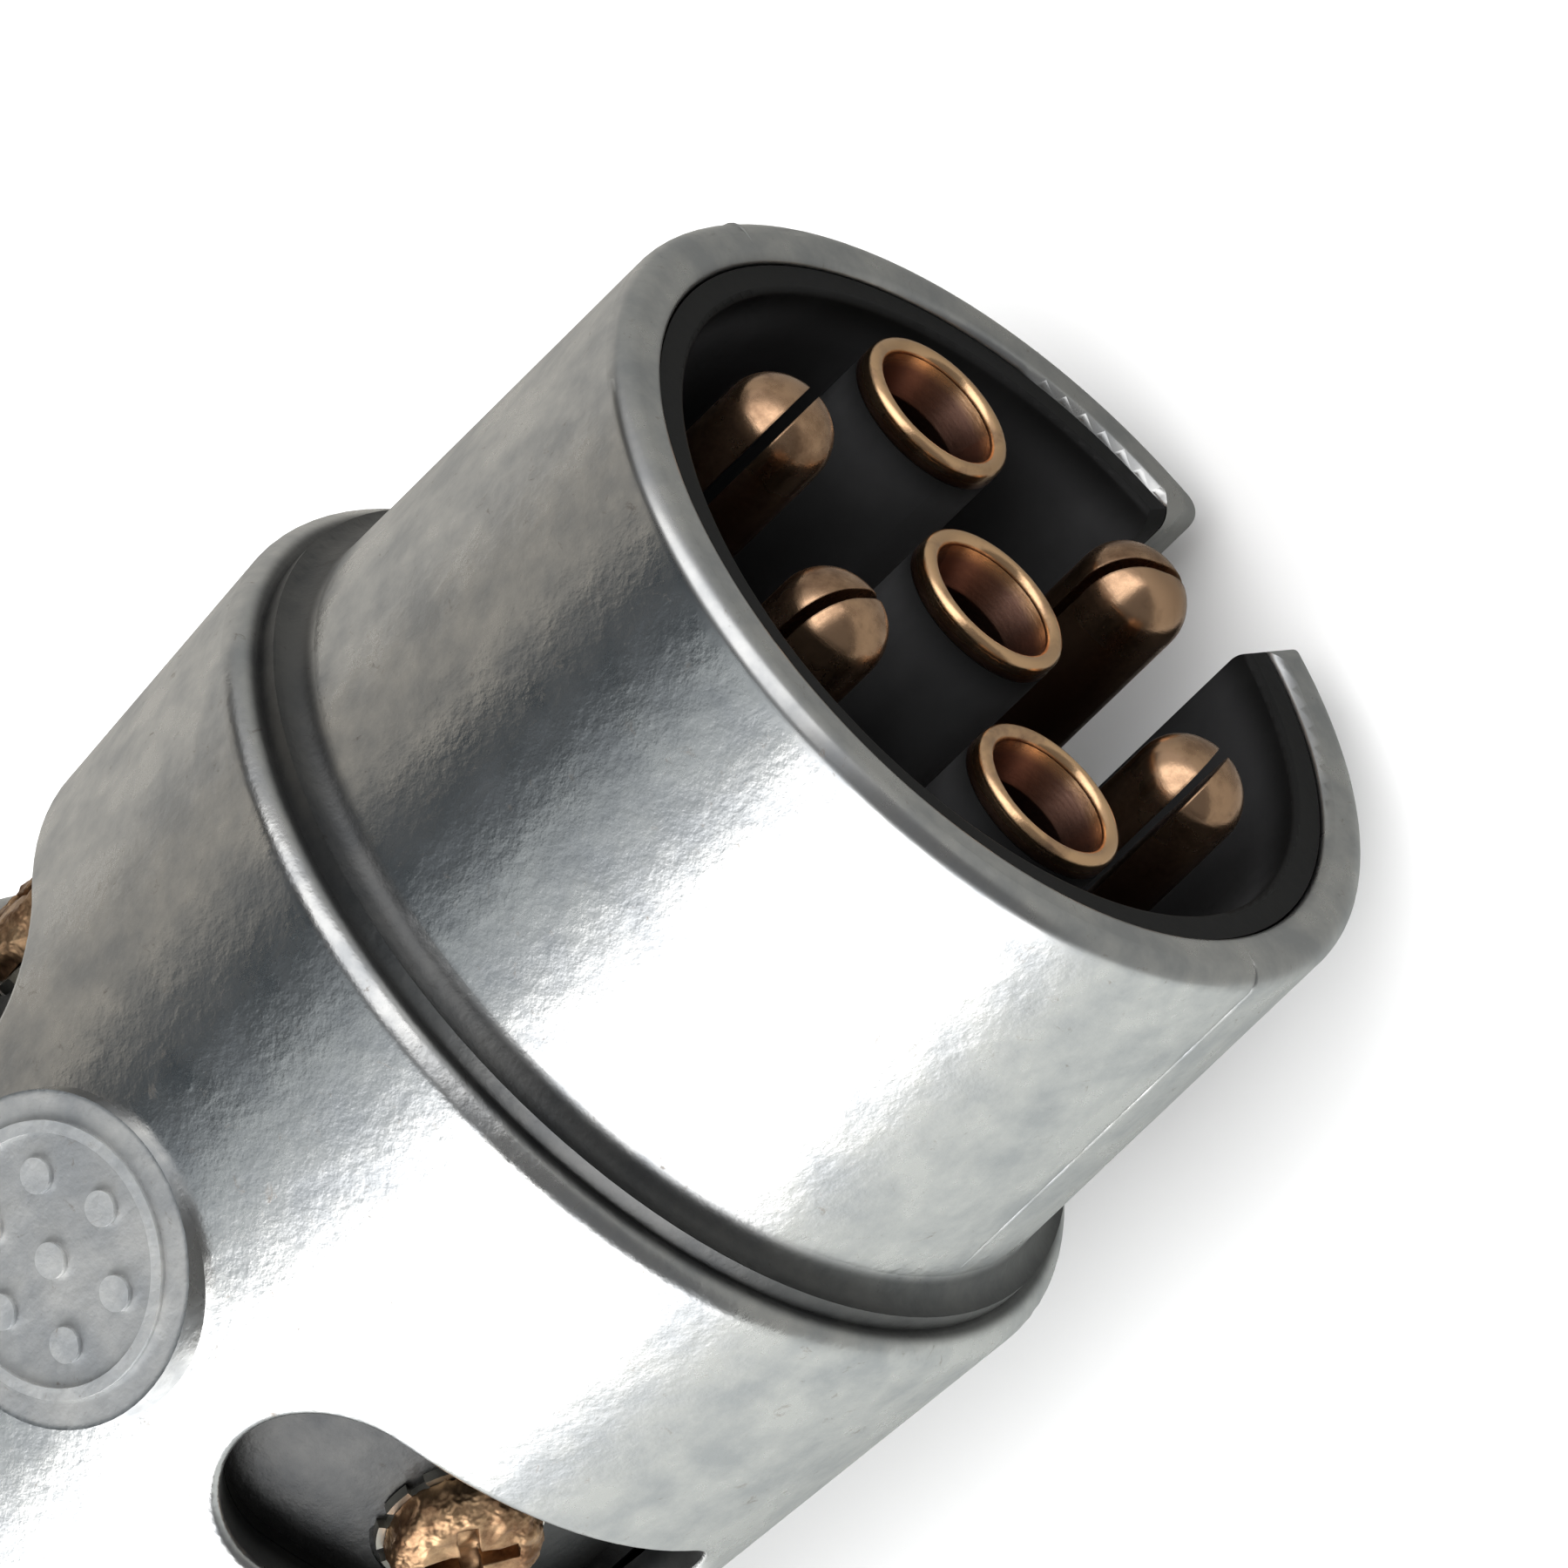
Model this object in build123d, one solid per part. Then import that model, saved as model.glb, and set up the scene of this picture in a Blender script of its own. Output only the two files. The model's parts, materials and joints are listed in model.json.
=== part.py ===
from build123d import *
from math import radians, tan
import os

# A seven-contact trailer plug with a cast metal shell, in millimetres.
# X runs along the plug and +X points out of its mouth. X = 0 is the root of the barrel, where its
# straight wall meets the cove of the collar. +Z is the top, where the round pad is; the keyway is underneath.
# Angles about the axis are counted from +Z towards -Y.

# ---- Driving dimensions ----

# Shell
barrel_radius = 21.0
barrel_length = 20.8
barrel_wall = 2.4
rim_round = 1.0
rim_inner_round = 0.45
collar_rise = 2.65
collar_round = 1.1
collar_step_rise = 1.3
collar_step_height = 0.9
collar_cove = 1.2
body_length = 37.0
body_taper_degrees = 4.2
body_wall = 2.6
shoulder_width = 1.6
shoulder_thickness = 3.0

# Keyway through barrel and liner
keyway_width = 7.2
keyway_length = 17.0
keyway_mouth_round = 1.4

# Oval screw pockets in the body
pocket_angles = (64.0, -64.0)
pocket_width = 9.6
pocket_half_span_degrees = 34.5
pocket_depth = 3.84
pocket_seat_depth = 0.3
pocket_wall = 1.8
pocket_floor_thickness = 1.8
pocket_edge_round = 0.5

# Round pad on top, with a raised picture of the contact layout
pad_radius = 7.4
pad_centre_x = -23.5
pad_height = 0.5
pad_relief = 0.3
pad_ring_radius = 6.1
pad_ring_width = 0.55
pad_dot_radius = 0.8
pad_dot_circle_radius = 3.7

# Contacts
contact_circle_radius = 11.9
pin_angles = {"top": 0.0, "left": -60.0, "right": 120.0, "key": 180.0}
pin_slot_angles = {"top": -4.5, "left": 20.5, "right": 22.0, "key": -22.5}
socket_angles = {"left": 240.0, "right": 60.0}
pin_radius = 2.65
pin_tip_round = 2.2
pin_tip_ahead_of_rim = 1.0
pin_slot_width = 0.55
pin_slot_length = 13.0
pin_shank_rise = 0.25
pin_shank_stand_out = 0.6
sleeve_bore_radius = 2.55
sleeve_wall = 0.75
sleeve_lip_rise = 0.6
sleeve_lip_thickness = 1.0
sleeve_lip_round = 0.4
sleeve_mouth_round = 0.2
sleeve_funnel_rise = 0.65
sleeve_funnel_depth = 2.2
sleeve_bore_length = 16.5
sleeve_behind_rim = 0.2
spring_ring_thickness = 0.45
spring_ring_width = 2.0
spring_ring_behind_lip = 6.0
spring_ring_gap_degrees = 70.0
contact_flange_rise = 0.4
contact_flange_thickness = 2.0
terminal_radius = 3.2
terminal_length = 8.0
centre_terminal_extra = 16.0
wire_bore_radius = 1.7
wire_bore_length = 6.5
terminal_screw_radius = 1.5
terminal_screw_length = 2.2
terminal_screw_from_end = 3.0

# Contact carrier and what holds it
liner_thickness = 1.4
liner_behind_rim = 0.4
carrier_floor_behind_rim = 18.5
carrier_floor_thickness = 4.5
carrier_hub_length = 6.0
seal_thickness = 1.0
retainer_thickness = 2.0
bridge_length = 6.0
bridge_behind_terminals = 3.5
bridge_inner_radius = 9.5
bridge_screw_angles = (30.0, 150.0, 270.0)
bridge_screw_inset = 3.4
bridge_post_wall = 1.15
bridge_screw_radius = 1.25
bridge_screw_head_radius = 2.3
bridge_screw_head_height = 1.6
bridge_screw_bite = 6.0
bush_wall = 0.7
carrier_screw_radius = 1.5
carrier_screw_head_radius = 3.5
carrier_screw_head_height = 2.0
washer_rim = 0.3
washer_thickness = 0.5
washer_teeth = 10
recess_width = 0.9
recess_span = 4.2
recess_depth = 1.2

# Rear housing and cable gland
gasket_thickness = 0.8
flange_thickness = 4.2
flange_round = 1.4
rear_screw_angles = (0.0, 120.0, 240.0)
rear_screw_inset = 1.54
rear_screw_radius = 1.5
rear_screw_head_radius = 2.7
rear_screw_head_height = 2.0
rear_screw_bite = 6.0
rear_boss_radius = 3.2
rear_boss_behind_bridge = 4.4
neck_shoulder_rise = 1.5
neck_shoulder_length = 5.0
neck_thread_radius = 12.0
neck_thread_length = 14.0
housing_mouth_inset = 0.3
neck_wall = 2.4
grommet_seat_width = 1.1
grommet_bore_radius = 5.2
grommet_length = 8.8
grommet_stand_out = 1.3
pressure_ring_inset = 1.0
pressure_ring_bore_radius = 6.5
pressure_ring_thickness = 2.0
nut_wall = 3.95
nut_mouth_radius = 7.0
nut_end_thickness = 3.0
nut_shoulder_gap = 3.0
nut_flutes = 14
nut_flute_radius = 1.8
nut_flute_depth = 0.9
nut_collar_length = 3.0
nut_edge_round = 1.0

# Clearances
seat_gap = 0.03
turning_gap = 0.05
screw_hole_gap = 0.2
liner_gap = 0.1
bridge_gap = 0.3
hub_gap = 1.0

# ---- Radii worked out from the dimensions above ----

collar_radius = barrel_radius + collar_rise
collar_step_radius = barrel_radius + collar_step_rise
bore_radius = barrel_radius - barrel_wall
liner_radius = bore_radius - liner_gap
liner_inner_radius = liner_radius - liner_thickness
shoulder_radius = bore_radius - shoulder_width
carrier_hub_radius = shoulder_radius - hub_gap
retainer_radius = carrier_hub_radius
pin_shank_radius = pin_radius + pin_shank_rise
sleeve_tube_radius = sleeve_bore_radius + sleeve_wall
sleeve_lip_radius = sleeve_tube_radius + sleeve_lip_rise
contact_flange_radius = max(sleeve_tube_radius, pin_shank_radius, terminal_radius) + contact_flange_rise
bridge_screw_circle_radius = carrier_hub_radius - bridge_screw_inset
bridge_post_radius = bridge_screw_radius + bridge_post_wall
bush_radius = carrier_screw_radius + bush_wall
washer_radius = carrier_screw_head_radius + washer_rim
neck_shoulder_radius = neck_thread_radius + neck_shoulder_rise
housing_mouth_radius = neck_shoulder_radius - housing_mouth_inset
grommet_radius = neck_thread_radius - neck_wall - liner_gap
neck_bore_radius = grommet_radius - grommet_seat_width
pressure_ring_radius = neck_thread_radius - pressure_ring_inset
nut_bore_radius = neck_thread_radius + turning_gap
nut_radius = nut_bore_radius + nut_wall
far = 2 * collar_radius

# ---- Places along the axis, worked out from the dimensions above ----

rim_x = barrel_length
step_front_x = -collar_cove
collar_face_x = step_front_x - collar_step_height
body_rear_x = collar_face_x - body_length
liner_front_x = rim_x - liner_behind_rim
floor_front_x = rim_x - carrier_floor_behind_rim
floor_rear_x = floor_front_x - carrier_floor_thickness
shoulder_front_x = floor_rear_x - seal_thickness
shoulder_rear_x = shoulder_front_x - shoulder_thickness
hub_rear_x = floor_rear_x - carrier_hub_length
flange_front_x = hub_rear_x + contact_flange_thickness
retainer_rear_x = hub_rear_x - retainer_thickness
terminal_rear_x = hub_rear_x - terminal_length
centre_terminal_rear_x = terminal_rear_x - centre_terminal_extra
bridge_front_x = terminal_rear_x - bridge_behind_terminals
bridge_rear_x = bridge_front_x - bridge_length
pocket_centre_x = (bridge_front_x + bridge_rear_x) / 2
rear_boss_front_x = bridge_rear_x - rear_boss_behind_bridge
lip_x = rim_x - sleeve_behind_rim
tower_front_x = lip_x - sleeve_lip_thickness - seat_gap
spring_ring_x = lip_x - spring_ring_behind_lip
pin_tip_x = rim_x + pin_tip_ahead_of_rim
shank_front_x = floor_front_x + pin_shank_stand_out
housing_front_x = body_rear_x - gasket_thickness
flange_rear_x = housing_front_x - flange_thickness
neck_shoulder_x = flange_rear_x - neck_shoulder_length
neck_rear_x = neck_shoulder_x - neck_thread_length
grommet_rear_x = neck_rear_x - grommet_stand_out
grommet_front_x = grommet_rear_x + grommet_length
ring_rear_x = grommet_rear_x - pressure_ring_thickness
nut_front_x = neck_shoulder_x - nut_shoulder_gap
nut_rear_x = ring_rear_x - nut_end_thickness


def body_radius(x):
    """Outer radius of the tapered body at a place along the axis."""
    return collar_radius - (collar_face_x - x) * tan(radians(body_taper_degrees))


pocket_floor_radius = body_radius(pocket_centre_x) - pocket_depth
pocket_seat_radius = pocket_floor_radius - pocket_seat_depth
well_inner_radius = pocket_floor_radius - pocket_floor_thickness
bridge_radius = well_inner_radius - bridge_gap
rear_screw_circle_radius = body_radius(body_rear_x) - body_wall - rear_screw_inset


# ---- Helpers ----


def outline(points, rounds=()):
    """Closed outline of (x, radius) points, with (point number, radius) rounded corners."""
    face = make_face(Polyline(*points, close=True))
    for number, radius in rounds:
        corner = face.vertices().sort_by_distance((*points[number], 0))[0]
        face = fillet(corner, radius)
    return face


def turned(points, rounds=()):
    """Solid made by turning an outline about the plug's axis."""
    return revolve(outline(points, rounds), Axis.X)


def rod(start_x, end_x, radius):
    """Solid cylinder along the plug's axis."""
    middle = Pos((start_x + end_x) / 2, 0, 0) * Rot(0, 90, 0)
    return middle * Cylinder(radius, abs(end_x - start_x))


def tube(start_x, end_x, outer, inner):
    """Hollow cylinder along the plug's axis."""
    low, high = min(start_x, end_x), max(start_x, end_x)
    return turned([(low, inner), (high, inner), (high, outer), (low, outer)])


def spoke(x, angle, radius, from_radius, to_radius):
    """Cylinder pointing away from the axis at an angle."""
    middle = (from_radius + to_radius) / 2
    return Rot(angle, 0, 0) * Pos(x, 0, middle) * Cylinder(radius, to_radius - from_radius)


def at_angle(angle, radius):
    """Place at an angle and a distance from the axis, turned to face outwards."""
    return Rot(angle, 0, 0) * Pos(0, 0, radius)


def all_contact_places():
    """The seven contact places: the six on the circle, then the centre."""
    angles = [*pin_angles.values(), *socket_angles.values()]
    return [at_angle(angle, contact_circle_radius) for angle in angles] + [Pos(0, 0, 0)]


# ---- Shell ----


def keyway_cut():
    """Slot with a round inner end and rounded corners at the mouth, cut downwards."""
    half = keyway_width / 2
    inner_x = rim_x - keyway_length
    points = [
        (inner_x, -half), (rim_x, -half), (rim_x, -2 * half), (rim_x + far, -2 * half),
        (rim_x + far, 2 * half), (rim_x, 2 * half), (rim_x, half), (inner_x, half),
    ]
    end_round = half * 0.98
    rounds = [(0, end_round), (7, end_round), (1, keyway_mouth_round), (6, keyway_mouth_round)]
    depth = barrel_radius
    return Pos(0, 0, -depth * 1.6) * extrude(outline(points, rounds), depth)


def pocket_block(angle, grow, from_radius, to_radius):
    """Oval that wraps round the body between two radii, grown sideways by a wall."""
    half_width = pocket_width / 2 + grow
    mean_radius = body_radius(pocket_centre_x)
    end_turn = pocket_half_span_degrees - pocket_width / 2 / radians(1) / mean_radius
    ring = tube(pocket_centre_x - half_width, pocket_centre_x + half_width, to_radius, from_radius)
    reach = 2 * to_radius
    edge = reach * tan(radians(end_turn))
    wedge_face = make_face(Polyline((0, 0), (edge, reach), (-edge, reach), close=True))
    turn_to_pocket = Rot(angle, 0, 0) * Pos(pocket_centre_x, 0, 0) * Rot(0, 0, 90)
    wedge = turn_to_pocket * Pos(0, half_width, 0) * extrude(Plane.XZ * wedge_face, 2 * half_width)
    block = ring & wedge
    for side in (-1, 1):
        end = spoke(pocket_centre_x, angle + side * end_turn, half_width, from_radius / 2, to_radius)
        block += end & tube(-far, far, to_radius, from_radius)
    return block


def pocket_rims(shell):
    """Edges where the pockets break the outside of the body."""
    rims = []
    for edge in shell.edges():
        middle = edge @ 0.5
        depth = body_radius(middle.X) - (middle.Y**2 + middle.Z**2) ** 0.5
        beside_pocket = abs(middle.X - pocket_centre_x) < pocket_width * 0.6
        if beside_pocket and abs(depth) < 0.02 and abs(middle.Y) > pad_radius + pad_height:
            rims.append(edge)
    return rims


def pad_top():
    """Raised pad with a ring and seven dots, on the slope of the body."""
    slope = Pos(pad_centre_x, 0, body_radius(pad_centre_x)) * Rot(0, -body_taper_degrees, 0)
    height = pad_height + body_wall / 2
    pad = slope * Pos(0, 0, pad_height - height / 2) * Cylinder(pad_radius, height)
    relief = Pos(0, 0, pad_height + pad_relief / 2)
    ring = Cylinder(pad_ring_radius, pad_relief) - Cylinder(pad_ring_radius - pad_ring_width, far)
    pad += slope * relief * ring
    circle = [Rot(0, 0, turn) * Pos(pad_dot_circle_radius, 0, 0) for turn in range(0, 360, 60)]
    dots = [Pos(0, 0, 0), *circle]
    for dot in dots:
        pad += slope * relief * dot * Cylinder(pad_dot_radius, pad_relief)
    return pad


def front_shell():
    """Barrel, stepped collar and tapered body, in one casting."""
    rear_radius = body_radius(body_rear_x)
    shell = turned(
        [
            (rim_x, bore_radius), (rim_x, barrel_radius), (step_front_x, barrel_radius),
            (step_front_x, collar_step_radius), (collar_face_x, collar_step_radius),
            (collar_face_x, collar_radius), (body_rear_x, rear_radius),
            (body_rear_x, rear_radius - body_wall),
            (shoulder_rear_x, body_radius(shoulder_rear_x) - body_wall),
            (shoulder_rear_x, shoulder_radius), (shoulder_front_x, shoulder_radius),
            (shoulder_front_x, bore_radius),
        ],
        [(0, rim_inner_round), (1, rim_round), (2, collar_cove), (5, collar_round)],
    )
    outside = turned([(far, 0), (far, collar_radius), (collar_face_x, collar_radius),
                      (body_rear_x, rear_radius), (body_rear_x, 0)])
    for angle in pocket_angles:
        shell += pocket_block(angle, pocket_wall, well_inner_radius, well_inner_radius + body_wall)
    for angle in rear_screw_angles:
        boss = at_angle(angle, rear_screw_circle_radius) * rod(
            body_rear_x, rear_boss_front_x, rear_boss_radius)
        shell += boss & outside
    shell += pad_top()
    for angle in pocket_angles:
        shell -= pocket_block(angle, 0, pocket_floor_radius, far)
    shell = fillet(pocket_rims(shell), pocket_edge_round)
    for angle in pocket_angles:
        shell -= spoke(pocket_centre_x, angle, washer_radius + screw_hole_gap, pocket_seat_radius,
                       pocket_floor_radius + 1)
        shell -= spoke(pocket_centre_x, angle, carrier_screw_radius + screw_hole_gap, 0, far)
    for angle in rear_screw_angles:
        shell -= at_angle(angle, rear_screw_circle_radius) * rod(
            body_rear_x, body_rear_x + rear_screw_bite, rear_screw_radius + seat_gap)
    return shell - keyway_cut()


# ---- Contacts ----


def wire_terminal(rear_x):
    """Cuts for a wire bore from the rear and a clamping screw from the outside."""
    cut = rod(rear_x, rear_x + wire_bore_length, wire_bore_radius)
    screw_x = rear_x + terminal_screw_from_end
    return cut + spoke(screw_x, 0, terminal_screw_radius + seat_gap, 0, far)


def pin_contact(slot_turn):
    """Split pin with a thicker shank, a retaining flange and a wire terminal."""
    contact = turned(
        [
            (pin_tip_x, 0), (pin_tip_x, pin_radius), (shank_front_x, pin_radius),
            (shank_front_x, pin_shank_radius), (flange_front_x, pin_shank_radius),
            (flange_front_x, contact_flange_radius), (hub_rear_x, contact_flange_radius),
            (hub_rear_x, terminal_radius), (terminal_rear_x, terminal_radius), (terminal_rear_x, 0),
        ],
        [(1, pin_tip_round), (8, terminal_radius - wire_bore_radius - 1.0)],
    )
    slot = Box(2 * pin_slot_length, pin_slot_width, 4 * pin_radius)
    contact -= Pos(pin_tip_x, 0, 0) * Rot(slot_turn, 0, 0) * slot
    return contact - wire_terminal(terminal_rear_x)


def socket_contact(rear_x):
    """Sleeve with a funnel mouth, a spring groove, a retaining flange and a wire terminal."""
    groove_front_x = spring_ring_x + seat_gap
    groove_rear_x = spring_ring_x - spring_ring_width - seat_gap
    groove_radius = sleeve_tube_radius - spring_ring_thickness - seat_gap
    lip_rear_x = lip_x - sleeve_lip_thickness
    bore_end_x = lip_x - sleeve_bore_length
    contact = turned(
        [
            (bore_end_x, 0), (bore_end_x, sleeve_bore_radius),
            (lip_x - sleeve_funnel_depth, sleeve_bore_radius), (lip_x, sleeve_bore_radius + sleeve_funnel_rise),
            (lip_x, sleeve_lip_radius), (lip_rear_x, sleeve_lip_radius), (lip_rear_x, sleeve_tube_radius),
            (groove_front_x, sleeve_tube_radius), (groove_front_x, groove_radius),
            (groove_rear_x, groove_radius), (groove_rear_x, sleeve_tube_radius),
            (flange_front_x, sleeve_tube_radius),
            (flange_front_x, contact_flange_radius), (hub_rear_x, contact_flange_radius),
            (hub_rear_x, terminal_radius), (rear_x, terminal_radius), (rear_x, 0),
        ],
        [(3, sleeve_mouth_round), (4, sleeve_lip_round)],
    )
    return contact - wire_terminal(rear_x)


def socket_spring_rings():
    """C-shaped springs in the grooves of the three sleeves."""
    front_x = spring_ring_x
    ring = tube(front_x - spring_ring_width, front_x, sleeve_tube_radius,
                sleeve_tube_radius - spring_ring_thickness)
    edge = far * tan(radians(spring_ring_gap_degrees / 2))
    gap = Plane.YZ * make_face(Polyline((0, 0), (edge, far), (-edge, far), close=True))
    ring -= Pos(front_x - spring_ring_width - 1, 0, 0) * extrude(gap, spring_ring_width + 2)
    places = all_contact_places()[len(pin_angles):]
    return Compound(children=[place * ring for place in places])


def terminal_screws():
    """Slotted grub screws in the seven terminals."""
    top = terminal_radius - seat_gap
    screw = spoke(0, 0, terminal_screw_radius, top - terminal_screw_length, top)
    screw -= Pos(0, 0, top) * Box(4 * terminal_screw_radius, 0.5, 1.4)
    rears = [terminal_rear_x] * (len(pin_angles) + len(socket_angles)) + [centre_terminal_rear_x]
    return Compound(children=[
        place * Pos(rear + terminal_screw_from_end, 0, 0) * screw
        for place, rear in zip(all_contact_places(), rears)
    ])


# ---- Carrier ----


def contact_carrier():
    """Insulating moulding: liner skirt, floor, sleeve towers and rear hub."""
    carrier = turned(
        [
            (liner_front_x, liner_inner_radius), (liner_front_x, liner_radius),
            (floor_rear_x, liner_radius), (floor_rear_x, carrier_hub_radius),
            (hub_rear_x, carrier_hub_radius), (hub_rear_x, 0), (floor_front_x, 0),
            (floor_front_x, liner_inner_radius),
        ],
        [(0, 0.3), (7, 1.0)],
    )
    places = all_contact_places()
    for place in places[len(pin_angles):]:
        carrier += place * rod(floor_front_x - 1, tower_front_x, sleeve_lip_radius)
    for place in places[:len(pin_angles)]:
        carrier -= place * rod(hub_rear_x, floor_front_x, pin_shank_radius + seat_gap)
    for place in places[len(pin_angles):]:
        carrier -= place * rod(hub_rear_x, tower_front_x, sleeve_tube_radius + seat_gap)
    for place in places:
        carrier -= place * rod(hub_rear_x, flange_front_x + seat_gap, contact_flange_radius + seat_gap)
    for angle in bridge_screw_angles:
        carrier -= at_angle(angle, bridge_screw_circle_radius) * rod(
            hub_rear_x, hub_rear_x + bridge_screw_bite, bridge_screw_radius + seat_gap)
    return carrier - keyway_cut()


def carrier_seal():
    """Rubber ring squeezed between the carrier's floor and the shell's shoulder."""
    return tube(shoulder_front_x, floor_rear_x, liner_radius - liner_gap, shoulder_radius + liner_gap)


def contact_retainer():
    """Plate over the contact flanges."""
    plate = rod(retainer_rear_x, hub_rear_x, retainer_radius)
    for place in all_contact_places():
        plate -= place * rod(retainer_rear_x, hub_rear_x, terminal_radius + liner_gap)
    for angle in bridge_screw_angles:
        plate -= at_angle(angle, bridge_screw_circle_radius) * rod(
            retainer_rear_x, hub_rear_x, bridge_screw_radius + screw_hole_gap)
    return plate


def carrier_bridge():
    """Ring behind the terminals on three posts, with holes for the bushes."""
    bridge = tube(bridge_rear_x, bridge_front_x, bridge_radius, bridge_inner_radius)
    for angle in bridge_screw_angles:
        bridge += at_angle(angle, bridge_screw_circle_radius) * rod(
            bridge_front_x - 1, retainer_rear_x, bridge_post_radius)
    for angle in bridge_screw_angles:
        bridge -= at_angle(angle, bridge_screw_circle_radius) * rod(
            bridge_rear_x, retainer_rear_x, bridge_screw_radius + screw_hole_gap)
    for angle in pocket_angles:
        bridge -= spoke(pocket_centre_x, angle, bush_radius + seat_gap, 0, far)
    return bridge


def bridge_screws():
    """Three long screws that tie bridge and retainer to the carrier."""
    tip_x = hub_rear_x + bridge_screw_bite - 0.5
    screw = rod(bridge_rear_x, tip_x, bridge_screw_radius)
    head_rear_x = bridge_rear_x - bridge_screw_head_height
    head = turned(
        [(bridge_rear_x, 0), (bridge_rear_x, bridge_screw_head_radius),
         (head_rear_x, bridge_screw_head_radius), (head_rear_x, 0)],
        [(2, bridge_screw_head_height / 2)],
    )
    head -= Pos(head_rear_x, 0, 0) * Box(1.6, 0.6, far)
    screw += head
    return Compound(children=[
        at_angle(angle, bridge_screw_circle_radius) * screw for angle in bridge_screw_angles
    ])


def carrier_bushes():
    """Threaded brass bushes pressed into the bridge."""
    inner = bridge_inner_radius + 0.5
    outer = bridge_radius - 0.2
    return Compound(children=[
        spoke(pocket_centre_x, angle, bush_radius, inner, outer)
        - spoke(pocket_centre_x, angle, carrier_screw_radius + seat_gap, 0, far)
        for angle in pocket_angles
    ])


def carrier_screws():
    """Cross-recess screws that hold the carrier, through the pocket floors."""
    under_head = pocket_seat_radius + washer_thickness
    top = under_head + carrier_screw_head_height
    head_face = make_face(Polyline(
        (0, under_head), (carrier_screw_head_radius, under_head), (carrier_screw_head_radius, top), (0, top),
        close=True))
    rim = head_face.vertices().sort_by_distance((carrier_screw_head_radius, top, 0))[0]
    head = revolve(Plane.XZ * fillet(rim, carrier_screw_head_height * 0.6), Axis.Z)
    screw = head + spoke(0, 0, carrier_screw_radius, bridge_inner_radius + 1, under_head)
    for turn in (45, 135):
        screw -= Pos(0, 0, top) * Rot(0, 0, turn) * Box(recess_span, recess_width, 2 * recess_depth)
    return Compound(children=[
        Rot(angle, 0, 0) * Pos(pocket_centre_x, 0, 0) * screw for angle in pocket_angles
    ])


def star_washers():
    """Lock washers with teeth round the edge, under the carrier screws."""
    low, high = pocket_seat_radius, pocket_seat_radius + washer_thickness
    hole_radius = carrier_screw_radius + screw_hole_gap
    washer = spoke(0, 0, washer_radius, low, high) - spoke(0, 0, hole_radius, 0, far)
    for tooth in range(washer_teeth):
        notch = Rot(0, 0, 360 / washer_teeth * tooth) * Pos(washer_radius, 0, (low + high) / 2)
        washer -= notch * Box(1.0, 0.9, 2 * washer_thickness)
    return Compound(children=[
        Rot(angle, 0, 0) * Pos(pocket_centre_x, 0, 0) * washer for angle in pocket_angles
    ])


# ---- Rear ----


def rear_gasket():
    """Rubber gasket between shell and rear housing, notched round the screws."""
    outer = body_radius(body_rear_x) - 0.2
    gasket = tube(housing_front_x, body_rear_x, outer, outer - body_wall)
    for angle in rear_screw_angles:
        ear = rod(housing_front_x, body_rear_x, rear_boss_radius)
        gasket += at_angle(angle, rear_screw_circle_radius) * ear
    for angle in rear_screw_angles:
        gasket -= at_angle(angle, rear_screw_circle_radius) * rod(
            housing_front_x, body_rear_x, rear_screw_radius + screw_hole_gap)
    return gasket


def rear_housing():
    """Rear cover with a threaded neck and the grommet's seat."""
    front_radius = body_radius(body_rear_x)
    rear_radius = body_radius(flange_rear_x)
    seat_x = grommet_front_x + seat_gap
    seat_radius = grommet_radius + liner_gap
    housing = turned(
        [
            (housing_front_x, housing_mouth_radius), (housing_front_x, front_radius),
            (flange_rear_x, rear_radius), (flange_rear_x, neck_shoulder_radius),
            (neck_shoulder_x, neck_shoulder_radius), (neck_shoulder_x, neck_thread_radius),
            (neck_rear_x, neck_thread_radius), (neck_rear_x, seat_radius), (seat_x, seat_radius),
            (seat_x, neck_bore_radius), (neck_shoulder_x, neck_bore_radius),
        ],
        [(2, flange_round), (4, 0.6), (6, 0.4)],
    )
    head_seat_x = flange_rear_x + rear_screw_head_height
    for angle in rear_screw_angles:
        place = at_angle(angle, rear_screw_circle_radius)
        housing -= place * rod(flange_rear_x, housing_front_x, rear_screw_radius + screw_hole_gap)
        housing -= place * rod(flange_rear_x, head_seat_x, rear_screw_head_radius + screw_hole_gap)
    return housing


def rear_screws():
    """Three cross-recess screws that hold the rear housing."""
    head_seat_x = flange_rear_x + rear_screw_head_height
    tip_x = body_rear_x + rear_screw_bite - 0.5
    screw = turned(
        [
            (tip_x, 0), (tip_x, rear_screw_radius), (head_seat_x, rear_screw_radius),
            (head_seat_x, rear_screw_head_radius), (flange_rear_x, rear_screw_head_radius),
            (flange_rear_x, 0),
        ],
        [(4, rear_screw_head_height / 2)],
    )
    for turn in (0, 90):
        screw -= Pos(flange_rear_x, 0, 0) * Rot(turn, 0, 0) * Box(2 * recess_depth, recess_width * 0.8, 3.2)
    return Compound(children=[
        at_angle(angle, rear_screw_circle_radius) * screw for angle in rear_screw_angles
    ])


def cable_grommet():
    """Rubber sleeve that closes on the cable."""
    rear_x, front_x = grommet_rear_x, grommet_front_x
    return turned(
        [(rear_x, grommet_bore_radius), (front_x, grommet_bore_radius), (front_x, grommet_radius),
         (rear_x, grommet_radius)],
        [(2, 0.8), (3, 1.2)],
    )


def pressure_ring():
    """Slip ring between grommet and nut."""
    return tube(ring_rear_x, grommet_rear_x, pressure_ring_radius, pressure_ring_bore_radius)


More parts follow.
